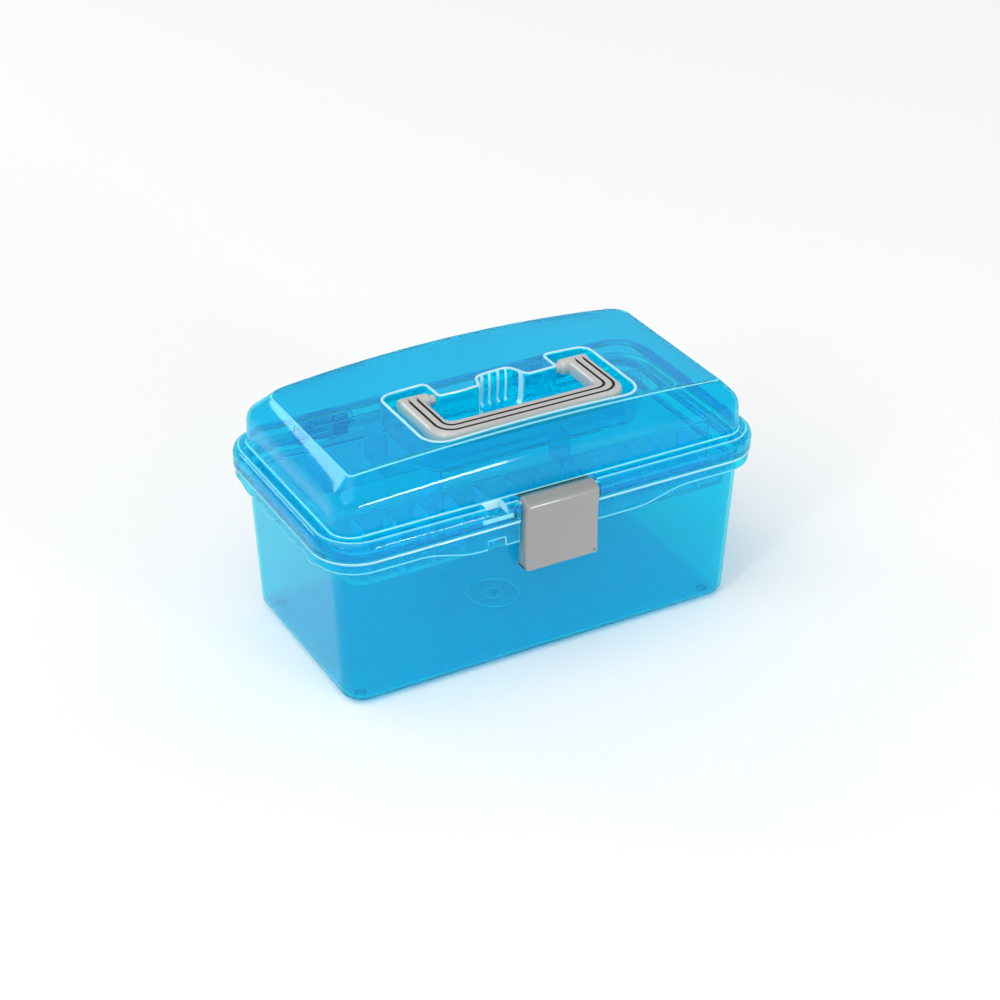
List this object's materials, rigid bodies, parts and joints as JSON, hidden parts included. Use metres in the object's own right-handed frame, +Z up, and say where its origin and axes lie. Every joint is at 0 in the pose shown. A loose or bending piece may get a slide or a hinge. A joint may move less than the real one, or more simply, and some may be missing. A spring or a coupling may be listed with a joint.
{
  "type": "medicine box",
  "caption": "Translucent storage case with a domed hinged lid, sunk carrying handle, snap latch and lift-out compartment tray.",
  "frame": {"origin": "middle of the footprint at the level of the feet", "axes": "+X along the length to the right, +Y from the latch to the hinges, +Z up"},
  "size_m": [0.28, 0.16, 0.149],
  "materials": {
    "blue_translucent": "glossy translucent cyan polypropylene",
    "silver_grey": "satin silver-grey plastic",
    "grey": "satin mid-grey plastic",
    "pin_steel": "plain steel wire"
  },
  "bodies": {
    "tub": {"tub": "blue_translucent", "hinge_pin_left": "pin_steel", "hinge_pin_right": "pin_steel"},
    "lid": {"lid": "blue_translucent", "latch_pin": "pin_steel"},
    "latch": {"latch": "grey"},
    "handle": {"handle": "silver_grey"},
    "tray": {"tray": "blue_translucent", "tray_handle": "blue_translucent"}
  },
  "joints": [
    {"name": "lid_hinge", "type": "hinge", "parent": "tub", "child": "lid", "pos_m": [0, 0.0758, 0.09935], "axis": [-1, 0, 0], "range_deg": [0, 110]},
    {"name": "latch_hinge", "type": "hinge", "parent": "lid", "child": "latch", "pos_m": [0, -0.0725, 0.1093], "axis": [-1, 0, 0], "range_deg": [0, 100]},
    {"name": "handle_hinge", "type": "hinge", "parent": "lid", "child": "handle", "pos_m": [0, 0, 0.1437], "axis": [-1, 0, 0], "range_deg": [0, 90]},
    {"name": "tray_lift", "type": "slide", "parent": "tub", "child": "tray", "axis": [0, 0, 1], "range_m": [0, 0.0675]}
  ],
  "couplings": [
    {"joint": "tray_lift", "follows": "lid_hinge", "m_per_rad": 0.035}
  ]
}
